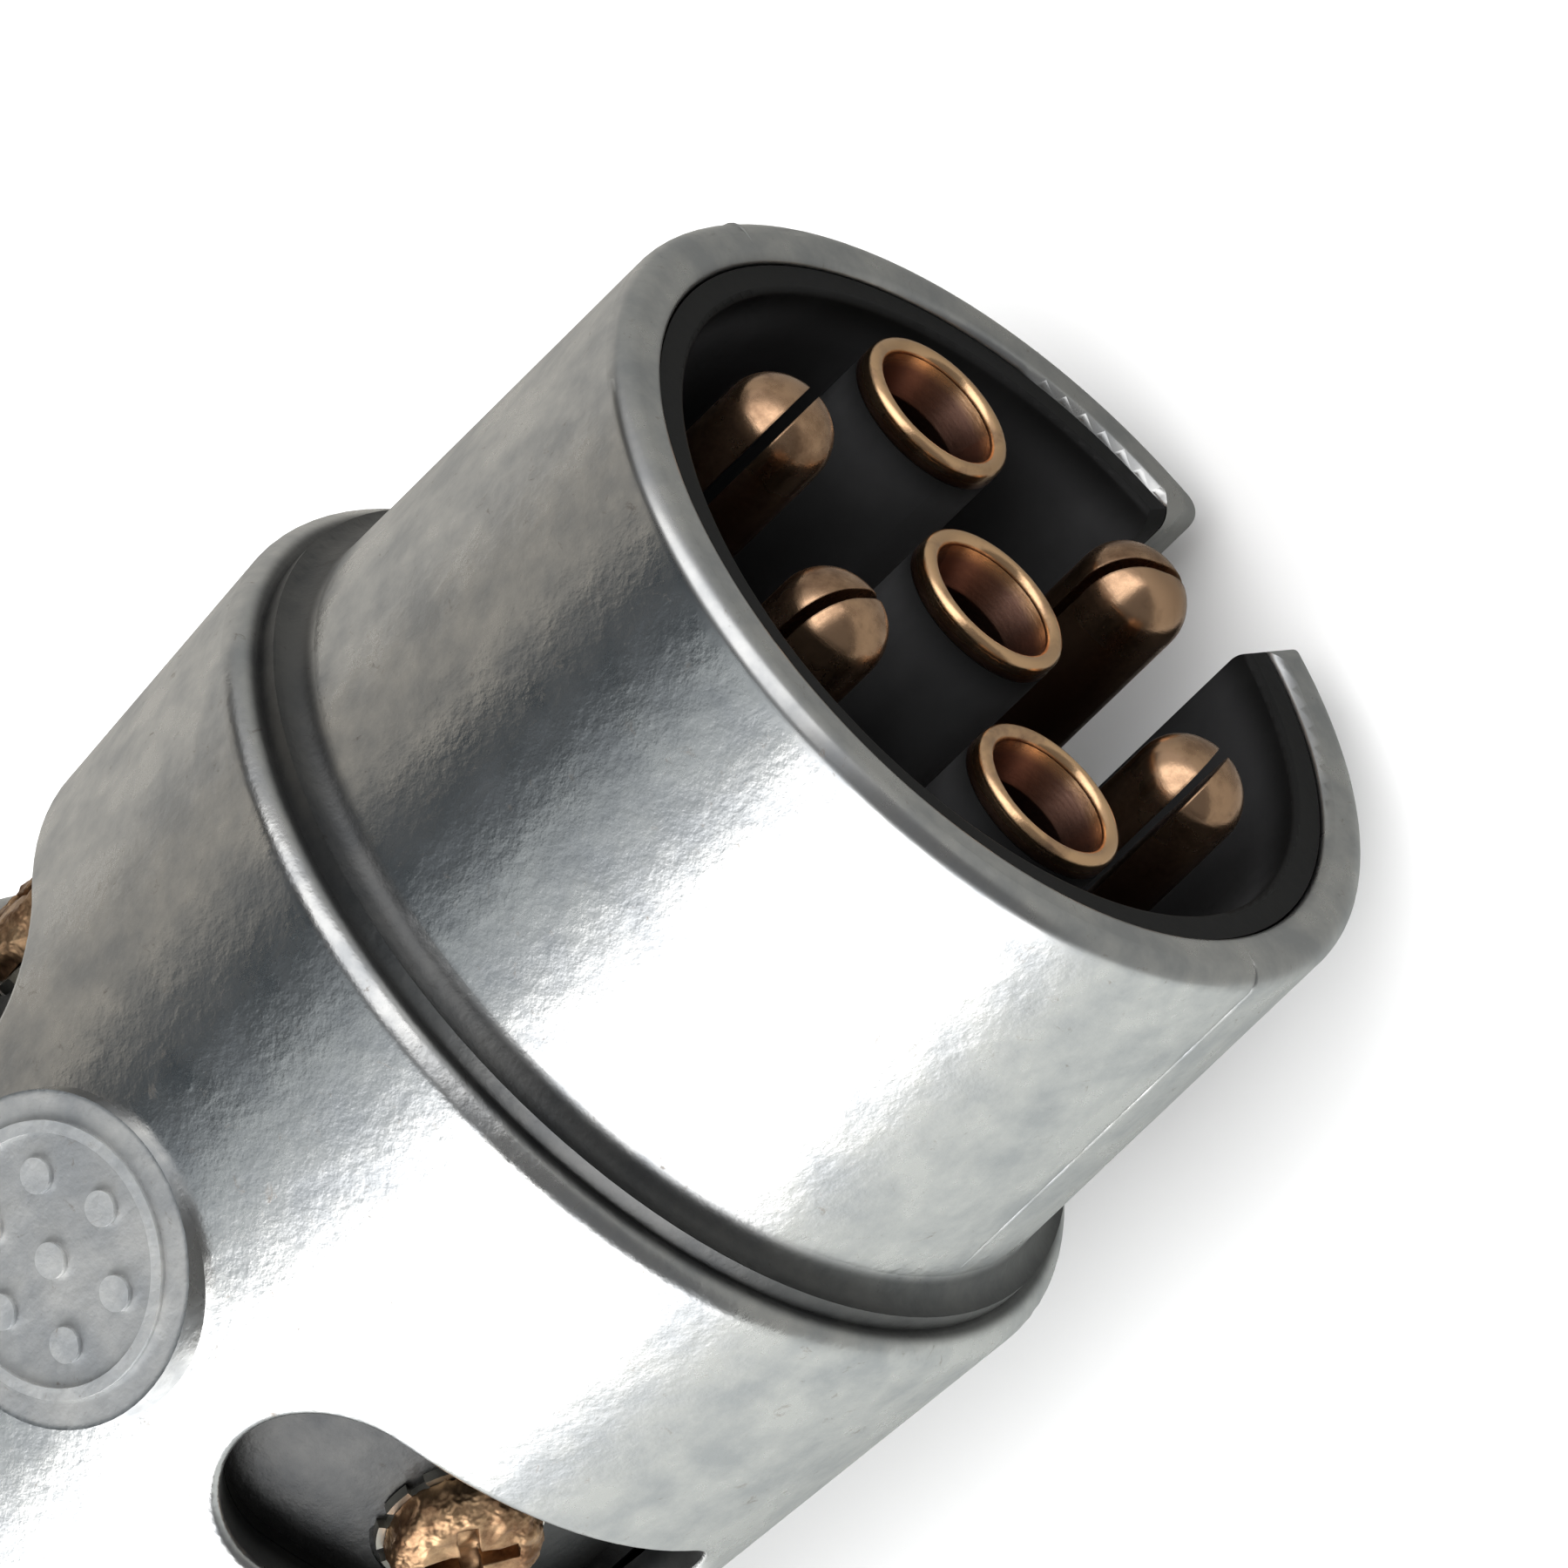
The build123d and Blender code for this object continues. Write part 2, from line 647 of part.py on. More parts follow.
def gland_nut():
    """Fluted nut on the neck, with a plain collar at its front."""
    nut = turned(
        [
            (nut_front_x, nut_bore_radius), (nut_front_x, nut_radius), (nut_rear_x, nut_radius),
            (nut_rear_x, nut_mouth_radius), (ring_rear_x, nut_mouth_radius), (ring_rear_x, nut_bore_radius),
        ],
        [(1, nut_edge_round), (2, 2 * nut_edge_round), (3, nut_edge_round / 2)],
    )
    flute_x = nut_front_x - nut_collar_length
    for flute in range(nut_flutes):
        place = at_angle(360 / nut_flutes * flute, nut_radius + nut_flute_radius - nut_flute_depth)
        nut -= place * rod(flute_x, nut_rear_x - 1, nut_flute_radius)
    return nut


# ---- Write every piece ----

pieces = {
    "front_shell": front_shell(),
    "contact_carrier": contact_carrier(),
    "carrier_seal": carrier_seal(),
    "contact_retainer": contact_retainer(),
    "carrier_bridge": carrier_bridge(),
    "bridge_screws": bridge_screws(),
    "carrier_bushes": carrier_bushes(),
    "carrier_screws": carrier_screws(),
    "star_washers": star_washers(),
    "socket_spring_rings": socket_spring_rings(),
    "terminal_screws": terminal_screws(),
    "rear_gasket": rear_gasket(),
    "rear_housing": rear_housing(),
    "rear_screws": rear_screws(),
    "cable_grommet": cable_grommet(),
    "pressure_ring": pressure_ring(),
    "gland_nut": gland_nut(),
    "socket_contact_centre": socket_contact(centre_terminal_rear_x),
}
for name, angle in pin_angles.items():
    contact = pin_contact(pin_slot_angles[name] - angle)
    pieces[f"pin_contact_{name}"] = at_angle(angle, contact_circle_radius) * contact
for name, angle in socket_angles.items():
    place = at_angle(angle, contact_circle_radius)
    pieces[f"socket_contact_{name}"] = place * socket_contact(terminal_rear_x)

os.makedirs("parts", exist_ok=True)
for name, shape in pieces.items():
    export_step(shape, f"parts/{name}.step")
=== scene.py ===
# %% [markdown]
# # A seven-contact trailer plug
# The plug is a heavy die-cast shell with a black insert that carries four split pins and three sleeves of
# brass. Its rear cover has a threaded neck, and a fluted nut closes that on the cable's rubber grommet.
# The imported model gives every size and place, in metres: +X points out of the plug's mouth, +Z is the top,
# where the round pad is, and X = 0 is the root of the barrel. This lesson adds finishes, screw threads,
# the casting's parting line and the rounded brass that a plain solid model leaves out.

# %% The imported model
import json
from math import cos, pi, radians, sin, tan

import bmesh
import bpy
from mathutils import Matrix, Vector


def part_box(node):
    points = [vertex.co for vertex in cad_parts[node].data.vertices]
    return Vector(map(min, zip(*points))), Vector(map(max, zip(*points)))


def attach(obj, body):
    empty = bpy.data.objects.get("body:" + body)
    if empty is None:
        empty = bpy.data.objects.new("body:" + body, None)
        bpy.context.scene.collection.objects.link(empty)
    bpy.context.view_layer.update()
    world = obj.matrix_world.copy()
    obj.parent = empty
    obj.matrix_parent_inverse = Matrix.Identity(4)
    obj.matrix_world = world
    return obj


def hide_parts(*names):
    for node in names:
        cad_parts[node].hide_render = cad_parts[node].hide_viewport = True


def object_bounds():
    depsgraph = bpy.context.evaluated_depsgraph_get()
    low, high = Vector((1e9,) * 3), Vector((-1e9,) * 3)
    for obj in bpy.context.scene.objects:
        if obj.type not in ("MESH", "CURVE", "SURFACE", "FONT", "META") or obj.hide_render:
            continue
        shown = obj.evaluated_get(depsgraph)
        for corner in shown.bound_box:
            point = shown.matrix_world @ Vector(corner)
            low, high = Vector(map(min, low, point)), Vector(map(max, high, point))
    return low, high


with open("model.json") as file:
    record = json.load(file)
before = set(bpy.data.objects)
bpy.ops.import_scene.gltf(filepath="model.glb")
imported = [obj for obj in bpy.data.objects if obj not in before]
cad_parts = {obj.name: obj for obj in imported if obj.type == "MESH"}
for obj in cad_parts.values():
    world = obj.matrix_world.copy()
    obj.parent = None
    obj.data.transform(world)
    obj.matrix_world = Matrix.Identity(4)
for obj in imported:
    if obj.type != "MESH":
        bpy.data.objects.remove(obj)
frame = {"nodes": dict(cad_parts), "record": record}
cad_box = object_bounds()
nodes = frame["nodes"]
mm = 0.001
print("nodes:", len(nodes), "box:", [round(v / mm, 1) for v in (*cad_box[0], *cad_box[1])])

# %% [markdown]
# ## Helpers for finishes
# A finish is a tree of shader nodes. Building one by hand takes three lines a node, so small helpers do it:
# they add a node with its settings and inputs, lay a ramp of greys or colours over a pattern, blend, count
# and stack bumps. Every pattern reads Object coordinates, so it stays on the metal when the plug is turned.

# %% Helpers for finishes


def add(tree, kind, inputs=None, **settings):
    """Adds a shader node, sets its properties, and fills inputs with numbers or other nodes' sockets."""
    node = tree.nodes.new(kind)
    for key, value in settings.items():
        setattr(node, key, value)
    for key, value in (inputs or {}).items():
        if isinstance(value, bpy.types.NodeSocket):
            tree.links.new(value, node.inputs[key])
        else:
            node.inputs[key].default_value = value
    return node


def ramp(tree, pattern, stops):
    """Turns a pattern from 0 to 1 into colours. Stops are (place, colour), and a number is a grey."""
    node = add(tree, "ShaderNodeValToRGB", {"Fac": pattern})
    while len(node.color_ramp.elements) < len(stops):
        node.color_ramp.elements.new(0.5)
    for element, (place, colour) in zip(node.color_ramp.elements, stops):
        element.position = place
        element.color = (colour,) * 3 + (1,) if isinstance(colour, (int, float)) else (*colour, 1)
    return node.outputs["Color"]


def noise(tree, place, size, detail=3.0, roughness=0.5, distortion=0.0):
    """Cloudy pattern whose patches are about the given size in millimetres."""
    node = add(tree, "ShaderNodeTexNoise", {
        "Vector": place, "Scale": 1 / (size * mm), "Detail": detail, "Roughness": roughness,
        "Distortion": distortion})
    return node.outputs["Fac"]


def mix(tree, share, low, high, kind="RGBA", blend="MIX"):
    """Blends two colours or two numbers by a share."""
    node = add(tree, "ShaderNodeMix", data_type=kind)
    if kind == "RGBA":
        node.blend_type = blend
    sockets = [s for s in node.inputs if s.enabled]
    for socket, value in zip(sockets, (share, low, high)):
        if isinstance(value, bpy.types.NodeSocket):
            tree.links.new(value, socket)
        else:
            socket.default_value = (*value, 1) if isinstance(value, tuple) else value
    return next(s for s in node.outputs if s.enabled)


def maths(tree, operation, first, second=0.0, third=0.0):
    """One sum on numbers or sockets."""
    node = tree.nodes.new("ShaderNodeMath")
    node.operation = operation
    for socket, value in zip(node.inputs, (first, second, third)):
        if isinstance(value, bpy.types.NodeSocket):
            tree.links.new(value, socket)
        else:
            socket.default_value = value
    return node.outputs[0]


def new_finish(name, **constants):
    """Empty finish. Gives the material, its tree, its surface shader and the Object coordinates."""
    material = bpy.data.materials.new(name)
    material.use_nodes = True
    tree = material.node_tree
    shader = tree.nodes["Principled BSDF"]
    for key, value in constants.items():
        shader.inputs[key.replace("_", " ")].default_value = value
    place = add(tree, "ShaderNodeTexCoord").outputs["Object"]
    return material, tree, shader, place


def bumps(tree, shader, *layers, edge=0.0, strength=1.0):
    """Stacks bump layers, each (pattern, height in millimetres). Edge is the radius of softened edges."""
    normal = None
    if edge:
        normal = add(tree, "ShaderNodeBevel", {"Radius": edge * mm}, samples=4).outputs["Normal"]
    for pattern, height in layers:
        node = add(tree, "ShaderNodeBump", {
            "Height": pattern, "Distance": height * mm, "Strength": strength})
        if normal:
            tree.links.new(normal, node.inputs["Normal"])
        normal = node.outputs["Normal"]
    tree.links.new(normal, shader.inputs["Normal"])


def wear(tree, shader, colour, roughness):
    """Hands a colour and a roughness pattern to the shader."""
    tree.links.new(colour, shader.inputs["Base Color"])
    tree.links.new(roughness, shader.inputs["Roughness"])


def share_between(tree, value, start, end):
    """Number from 0 at start to 1 at end, easing at both."""
    node = add(tree, "ShaderNodeMapRange", {"Value": value, "From Min": start, "From Max": end})
    node.interpolation_type = "SMOOTHSTEP"
    return node.outputs["Result"]


def separate(tree, place):
    """X, Y and Z of a place."""
    return add(tree, "ShaderNodeSeparateXYZ", {"Vector": place}).outputs


def from_axis(tree, place):
    """Distance of a place from the plug's axis."""
    across = add(tree, "ShaderNodeVectorMath", {0: place, 1: (0.0, 1.0, 1.0)}, operation="MULTIPLY")
    return add(tree, "ShaderNodeVectorMath", {0: across.outputs[0]}, operation="LENGTH").outputs["Value"]


print("helpers ready")

# %% [markdown]
# ## Painted shade, painted light and duller skin on the shell
# The shell is tumbled after casting, which brightens its open skin. The oval pockets and the cove beside the
# barrel are darkened in colour as painted shade. The pad is made paler in colour as painted light, and it
# keeps a duller skin. The pad's low ground is darkened as painted shade. A mask finds each place from Object
# coordinates: how deep a point lies under the body's cone, how far it is from the middle of the pad, or where
# it stands along the plug. Masks by formula need no painting and stay sharp close up.

# %% Painted shade, painted light and duller skin on the shell
shell_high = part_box("front_shell")[1]
collar_radius = shell_high.y
collar_face_x = -2.1 * mm
body_slope = 0.0734
pad_centre = (-23.5 * mm, 0.0, 0.0)
pad_radius = 7.4 * mm
pad_relief_top = 0.88 * mm
pocket_start, pocket_depth = 0.4 * mm, 2.2 * mm
mask_edge = 0.3 * mm


def body_radius(x):
    """Outer radius of the body's cone."""
    return collar_radius - (collar_face_x - x) * body_slope


def cone_radius(tree, x):
    """Outer radius of the body's cone, in nodes."""
    return maths(tree, "MULTIPLY_ADD", x, body_slope, body_radius(0.0))


def pocket_mask(tree, place):
    """1 inside the body's pockets, 0 on its outside."""
    x = separate(tree, place)["X"]
    depth = maths(tree, "SUBTRACT", cone_radius(tree, x), from_axis(tree, place))
    behind_collar = share_between(tree, x, collar_face_x - 2 * mm, collar_face_x - 3 * mm)
    return maths(tree, "MULTIPLY", share_between(tree, depth, pocket_start, pocket_depth), behind_collar)


def pad_mask(tree, place):
    """1 on the round pad, 0 elsewhere."""
    flat = add(tree, "ShaderNodeVectorMath", {0: place, 1: (1.0, 1.0, 0.0)}, operation="MULTIPLY")
    apart = add(tree, "ShaderNodeVectorMath", {0: flat.outputs[0], 1: pad_centre}, operation="DISTANCE")
    on_pad = share_between(tree, apart.outputs["Value"], pad_radius, pad_radius - 0.4 * mm)
    return maths(tree, "MULTIPLY", on_pad, share_between(tree, separate(tree, place)["Z"], 0.0, 5 * mm))


def pad_ground_mask(tree, place):
    """1 on the low ground between the pad's raised ring and dots."""
    xyz = separate(tree, place)
    height = maths(tree, "SUBTRACT", xyz["Z"], cone_radius(tree, xyz["X"]))
    low_ground = share_between(tree, height, pad_relief_top - 0.05 * mm, pad_relief_top - 0.2 * mm)
    return maths(tree, "MULTIPLY", low_ground, pad_mask(tree, place))


def cove_mask(tree, place):
    """1 in the cove and on the step between barrel and collar, which the shell's colour darkens as painted
    shade.
    """
    x = separate(tree, place)["X"]
    from_barrel = share_between(tree, x, mask_edge, -0.5 * mm)
    from_collar = share_between(tree, x, collar_face_x - mask_edge, collar_face_x)
    inside_edge = share_between(
        tree, from_axis(tree, place), collar_radius - mask_edge, collar_radius - 1.0 * mm)
    return maths(tree, "MULTIPLY", maths(tree, "MULTIPLY", from_barrel, from_collar), inside_edge)


print("collar radius", round(collar_radius / mm, 2), "mm")

# %% [markdown]
# ## Cast metal
# The shell, rear cover and nut are aluminium alloy, cast in a steel die and tumbled. The skin is bright but
# never flat: it has soft dents a millimetre or two wide, finer pitting, and a few brownish specks. One
# texture would look printed on, so noises of different sizes work together: the widest clouds the colour
# and the gloss, and all of them lift the surface a few hundredths of a millimetre. The rim is rubbed
# flatter by every socket, so the bumps fade there.

# %% Cast metal
rim_flatness = 0.95


def cast_metal(name, base=(0.62, 0.62, 0.61), gloss=(0.24, 0.36), painted_shade_light_and_dullness=()):
    """Tumbled casting. Each painted_shade_light_and_dullness entry is (mask, colour share, roughness): a share
    under 1 paints shade, over 1 paints light, and the roughness marks what tumbling missed.
    """
    material, tree, shader, place = new_finish(name, Metallic=1.0)
    clouds = noise(tree, place, 3.4, 5.0, 0.62)
    dents = noise(tree, place, 1.5, 4.0, 0.6)
    pits = noise(tree, place, 0.4, 4.0, 0.65)
    specks = noise(tree, place, 1.0, 6.0, 0.75, 0.6)
    darker = (base[0] * 0.72, base[1] * 0.74, base[2] * 0.77)
    colour = mix(tree, ramp(tree, clouds, [(0.36, 0.0), (0.62, 1.0)]), darker, base)
    stained = ramp(tree, specks, [(0.62, 0.0), (0.72, 0.6)])
    colour = mix(tree, stained, colour, (0.22, 0.17, 0.13))
    rough = ramp(tree, clouds, [(0.3, gloss[1]), (0.7, gloss[0])])
    rough = mix(tree, stained, rough, 0.6, "FLOAT")
    # Painted shade and painted light: each mask scales the colour by its share and sets a duller roughness.
    for mask, shade, dullness in painted_shade_light_and_dullness:
        share = mask(tree, place)
        colour = mix(tree, share, colour, mix(tree, 1.0, colour, (shade,) * 3, blend="MULTIPLY"))
        rough = mix(tree, share, rough, dullness, "FLOAT")
    wear(tree, shader, colour, rough)
    at_rim = share_between(
        tree, separate(tree, place)["X"], shell_high.x - 1.6 * mm, shell_high.x - 0.8 * mm)
    strength = maths(tree, "MULTIPLY_ADD", at_rim, -rim_flatness, 1.0)
    bumps(tree, shader, (clouds, 0.055), (dents, 0.055), (pits, 0.012), strength=strength)
    return material


metal = cast_metal("cast_metal")
# Colour shares: painted shade in the pockets (0.14), the cove (0.22) and the pad's low ground (0.78), and
# painted light on the pad (1.40).
shell_metal = cast_metal("shell_cast_metal", painted_shade_light_and_dullness=(
    (pocket_mask, 0.14, 0.42), (pad_mask, 1.40, 0.55), (pad_ground_mask, 0.78, 0.60),
    (cove_mask, 0.22, 0.45)))
print("cast metal has", len(shell_metal.node_tree.nodes), "nodes")

# %% [markdown]
# ## Brass
# The contacts are turned brass that years of plugging have polished to a warm copper shine, while the
# bores and the roots of the pins turn a dark brown that is partly tarnish and partly painted shade.
# Polishing marks run round each contact, so their fine noise is squeezed along the plug's axis by a Mapping
# node. A share from 0 at one place along the plug to 1 at another brings in that painted shade and tarnish,
# and a bevel softens the edges that a file would break.

# %% Brass
lip_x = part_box("socket_contact_centre")[1].x
pin_tip_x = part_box("pin_contact_top")[1].x


def brass(name, bright, dull, gloss, worn, clear_of_shade_and_tarnish_at=None, full_shade_and_tarnish_at=None):
    """Warm brass with a bright polish, tarnished in patches, and darker past a place along the plug from
    painted shade and tarnish.
    """
    material, tree, shader, place = new_finish(name, Metallic=1.0)
    tarnish = noise(tree, place, 2.0, 5.0, 0.65)
    turned_place = add(tree, "ShaderNodeMapping", {"Vector": place, "Scale": (6.0, 1.0, 1.0)})
    marks = noise(tree, turned_place.outputs["Vector"], 0.8, 3.0, 0.6)
    clean = ramp(tree, tarnish, [(worn - 0.12, 0.0), (worn + 0.2, 1.0)])
    # Painted shade and tarnish: past a place along the plug the brass turns to its dull colour and a rougher
    # gloss.
    if clear_of_shade_and_tarnish_at is not None:
        clear_of_shade_and_tarnish = share_between(tree, separate(tree, place)["X"], full_shade_and_tarnish_at, clear_of_shade_and_tarnish_at)
        clean = mix(tree, clear_of_shade_and_tarnish, 0.0, clean, "FLOAT")
    wear(tree, shader, mix(tree, clean, dull, bright), mix(tree, clean, gloss[1], gloss[0], "FLOAT"))
    bumps(tree, shader, (tarnish, 0.02), (marks, 0.005), edge=0.14)
    return material


sleeve_brass = brass("sleeve_brass", (0.90, 0.58, 0.33), (0.24, 0.14, 0.11), (0.20, 0.32), 0.30,
                     lip_x - 0.1 * mm, lip_x - 1.0 * mm)
pin_brass = brass("pin_brass", (0.66, 0.42, 0.26), (0.20, 0.11, 0.065), (0.21, 0.40), 0.36,
                  pin_tip_x - 1.2 * mm, pin_tip_x - 7 * mm)
screw_brass = brass("worn_screw_brass", (0.72, 0.48, 0.28), (0.20, 0.11, 0.06), (0.28, 0.5), 0.52)
print("brass ready")

# %% [markdown]
# ## Black insert and rubber
# The insert is a hard moulded plastic, nearly black, with a low sheen and a fine die grain. Its front edge
# is kept near-black as painted shade, and further in it turns a lighter dark grey, so one share along the
# plug goes from the painted-dark edge to that inner tone. Rubber is greyer and has no sheen.

# %% Black insert and rubber
carrier_front_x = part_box("contact_carrier")[1].x


def moulded(name, colour, dust, gloss, grain, painted_dark_edge_to=None, inner_tone_from=None, inner_tone=None):
    """Dull moulding: base colour, dusty patches, a fine grain, and a front edge darkened as painted shade that
    gives way to an inner tone along the plug.
    """
    material, tree, shader, place = new_finish(name, Specular_IOR_Level=0.15)
    patches = noise(tree, place, 5.0, 4.0, 0.6)
    fine = noise(tree, place, 0.25, 3.0, 0.6)
    share = ramp(tree, patches, [(0.45, 0.0), (0.75, 1.0)])
    shade = mix(tree, share, colour, dust)
    # Painted shade: the near-black base colour stays on the front edge, and the lighter inner tone takes over
    # further in.
    if inner_tone:
        toward_inner_tone = share_between(tree, separate(tree, place)["X"], painted_dark_edge_to, inner_tone_from)
        shade = mix(tree, toward_inner_tone, shade, mix(tree, share, inner_tone, tuple(c * 1.35 for c in inner_tone)))
    rough = mix(tree, share, gloss, min(1.0, gloss + 0.2), "FLOAT")
    wear(tree, shader, shade, rough)
    bumps(tree, shader, (patches, 0.02), (fine, grain))
    return material


# The front edge gets painted shade in the near-black base; 0.030 is the insert's tone further in.
black = moulded("black_moulding", (0.006, 0.006, 0.006), (0.009, 0.009, 0.009), 0.5, 0.006,
                carrier_front_x - 0.3 * mm, carrier_front_x - 2.5 * mm, (0.030, 0.030, 0.031))
rubber = moulded("rubber", (0.022, 0.022, 0.023), (0.045, 0.044, 0.042), 0.7, 0.015)
print("insert and rubber ready")

# %% [markdown]
# ## Plated steel
# Springs, screws and washers inside are zinc-plated steel: paler and cleaner than the casting, with a
# fine grain and a faint yellow cast.

# %% Plated steel


def plated(name):
    """Zinc-plated steel: pale, slightly yellow, with a fine grain."""
    material, tree, shader, place = new_finish(name, Metallic=1.0)
    clouds = noise(tree, place, 1.8, 4.0, 0.6)
    grain = noise(tree, place, 0.2, 2.0, 0.5)
    colour = mix(tree, clouds, (0.52, 0.49, 0.42), (0.72, 0.71, 0.66))
    rough = ramp(tree, clouds, [(0.3, 0.42), (0.7, 0.26)])
    wear(tree, shader, colour, rough)
    bumps(tree, shader, (grain, 0.004))
    return material


steel = plated("plated_steel")
print("plated steel ready")

# %% [markdown]
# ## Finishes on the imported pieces
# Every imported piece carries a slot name, and each slot has one finish. A few pieces have their own version,
# such as the shell with its masks, so a second list is asked first. Doing it in one loop leaves no piece
# without a finish.

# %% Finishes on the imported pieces
finishes = {"cast_metal": metal, "black_moulding": black, "rubber": rubber, "plated_steel": steel,
            "brass": sleeve_brass}
own_finish = {"front_shell": shell_metal, "carrier_screws": screw_brass, "pin_contact_top": pin_brass,
              "pin_contact_left": pin_brass, "pin_contact_right": pin_brass, "pin_contact_key": pin_brass}
for part in frame["record"]["subparts"]:
    name = part["node"]
    nodes[name].data.materials.clear()
    nodes[name].data.materials.append(own_finish.get(name, finishes[part["material_slot"]]))

# %% [markdown]
# ## Growing pieces with Geometry Nodes
# What repeats on the plug, such as flutes, thread turns and worn screw heads, is grown by Geometry Nodes:
# a size changes in one named input and every copy follows. A tree is built here in code, with its sizes
# as named inputs. A modifier finds an input by the socket's identifier, so the helper below looks that up,
# fills the inputs before the object is first evaluated, and keeps the result as a plain mesh.

# %% Helpers for grown pieces


def grower(name, sizes):
    """Geometry Nodes tree with a named number for each size. Gives tree, inputs and the output socket."""
    tree = bpy.data.node_groups.new(name, "GeometryNodeTree")
    tree.interface.new_socket("Geometry", in_out="INPUT", socket_type="NodeSocketGeometry")
    tree.interface.new_socket("Geometry", in_out="OUTPUT", socket_type="NodeSocketGeometry")
    for size, value in sizes.items():
        kind = "NodeSocketInt" if isinstance(value, int) else "NodeSocketFloat"
        tree.interface.new_socket(size, in_out="INPUT", socket_type=kind).default_value = value
    return tree, tree.nodes.new("NodeGroupInput").outputs, tree.nodes.new("NodeGroupOutput").inputs[0]


def end_tree(tree, geometry, finish, output):
    """Realizes what was instanced and sets the finish."""
    real = add(tree, "GeometryNodeRealizeInstances", {"Geometry": geometry}).outputs[0]
    coated = add(tree, "GeometryNodeSetMaterial", {"Geometry": real, "Material": finish}).outputs[0]
    tree.links.new(coated, output)


def keep(name, mesh, body, stands_for=(), sharp=40):
    """Makes a finished mesh a piece of the plug, smooth up to an angle."""
    solid = bmesh.new()
    solid.from_mesh(mesh)
    bmesh.ops.remove_doubles(solid, verts=solid.verts, dist=0.0005 * mm)
    bmesh.ops.recalc_face_normals(solid, faces=solid.faces)
    open_edges = sum(not edge.is_manifold for edge in solid.edges)
    solid.to_mesh(mesh)
    solid.free()
    mesh.shade_smooth()
    mesh.set_sharp_from_angle(angle=radians(sharp))
    piece = bpy.data.objects.new(name, mesh)
    bpy.context.scene.collection.objects.link(piece)
    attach(piece, body)
    if stands_for:
        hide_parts(*stands_for)
    print(name, "has", len(mesh.polygons), "faces and", open_edges, "open edges")


def grow(name, tree, sizes, start=None):
    """Runs a tree on a start mesh and gives the plain mesh it makes."""
    seed = bpy.data.objects.new(name + "_start", start or bpy.data.meshes.new(name + "_start"))
    bpy.context.scene.collection.objects.link(seed)
    modifier = seed.modifiers.new("grow", "NODES")
    modifier.node_group = tree
    for item in tree.interface.items_tree:
        if item.in_out == "INPUT" and item.name in sizes:
            modifier[item.identifier] = sizes[item.name]
    grown = seed.evaluated_get(bpy.context.evaluated_depsgraph_get())
    mesh = bpy.data.meshes.new_from_object(grown)
    mesh.name = name
    bpy.data.objects.remove(seed)
    return mesh


def merged_copy(node):
    """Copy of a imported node's mesh with its loose triangles joined."""
    solid = bmesh.new()
    solid.from_mesh(nodes[node].data)
    bmesh.ops.remove_doubles(solid, verts=solid.verts, dist=0.001 * mm)
    mesh = bpy.data.meshes.new(node + "_copy")
    solid.to_mesh(mesh)
    solid.free()
    return mesh


def reach(mesh):
    """Text with a mesh's reach along the plug and from its axis, in millimetres."""
    along = [vertex.co.x / mm for vertex in mesh.vertices]
    out = [(vertex.co.y**2 + vertex.co.z**2) ** 0.5 / mm for vertex in mesh.vertices]
    return f"x {min(along):.2f} to {max(along):.2f}, radius {min(out):.2f} to {max(out):.2f}"


print("growing helpers ready")

# %% [markdown]
# ## Half section of the nut
# The nut is a turned ring, so it starts as a lathe drawing: the outline of one half, cut along the axis.
# The outline needs only its corners and their roundings. Arcs take the corners' place, and the straights
# are cut short so that the flutes can bend them later.

# %% Half section of the nut
nut_low, nut_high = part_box("gland_nut")
nut_bore = 12.05 * mm
nut_mouth = 7.0 * mm
nut_end = 3.0 * mm
nut_collar = 3.0 * mm


def half_section(name, points, step=0.5 * mm, arc_steps=6):
    """Closed ring of edges from (x, radius, corner rounding) points. Radius lies along X, and x along Y."""
    outline = []
    for number, (x, r, rounding) in enumerate(points):
        corner = Vector((r, x, 0))
        if not rounding:
            outline.append(corner)
            continue
        last, following = points[number - 1], points[(number + 1) % len(points)]
        before = (Vector((last[1], last[0], 0)) - corner).normalized()
        after = (Vector((following[1], following[0], 0)) - corner).normalized()
        reach = rounding / tan(before.angle(after) / 2)
        middle = corner + (before + after).normalized() * (reach**2 + rounding**2) ** 0.5
        start = (corner + before * reach - middle).normalized()
        end = (corner + after * reach - middle).normalized()
        outline += [middle + start.slerp(end, turn / arc_steps) * rounding for turn in range(arc_steps + 1)]
    points = []
    for number, point in enumerate(outline):
        following = outline[(number + 1) % len(outline)]
        cuts = max(1, round((following - point).length / step))
        points += [point.lerp(following, cut / cuts) for cut in range(cuts)]
    mesh = bpy.data.meshes.new(name)
    mesh.from_pydata(points, [(n, (n + 1) % len(points)) for n in range(len(points))], [])
    return mesh


nut_section = half_section("nut_section", [
    (nut_high.x, nut_bore, 0.2 * mm), (nut_high.x, nut_high.z, 1.0 * mm),
    (nut_low.x, nut_high.z, 2.0 * mm), (nut_low.x, nut_mouth, 0.5 * mm),
    (nut_low.x + nut_end, nut_mouth, 0), (nut_low.x + nut_end, nut_bore, 0)])
print("the half section has", len(nut_section.vertices), "points")

# %% [markdown]
# ## Fluted nut
# Fourteen round flutes give the fingers a grip. A revolve and fourteen cuts would do, but the shape follows
# one rule, so it is grown: the half section is swept round a tiny circle, and every point near the outside
# then sinks to where a round cutter would pass at its angle. The cutter lifts out gently before the plain
# collar.

# %% Tree of the fluted nut
flute_ease = 0.7 * mm


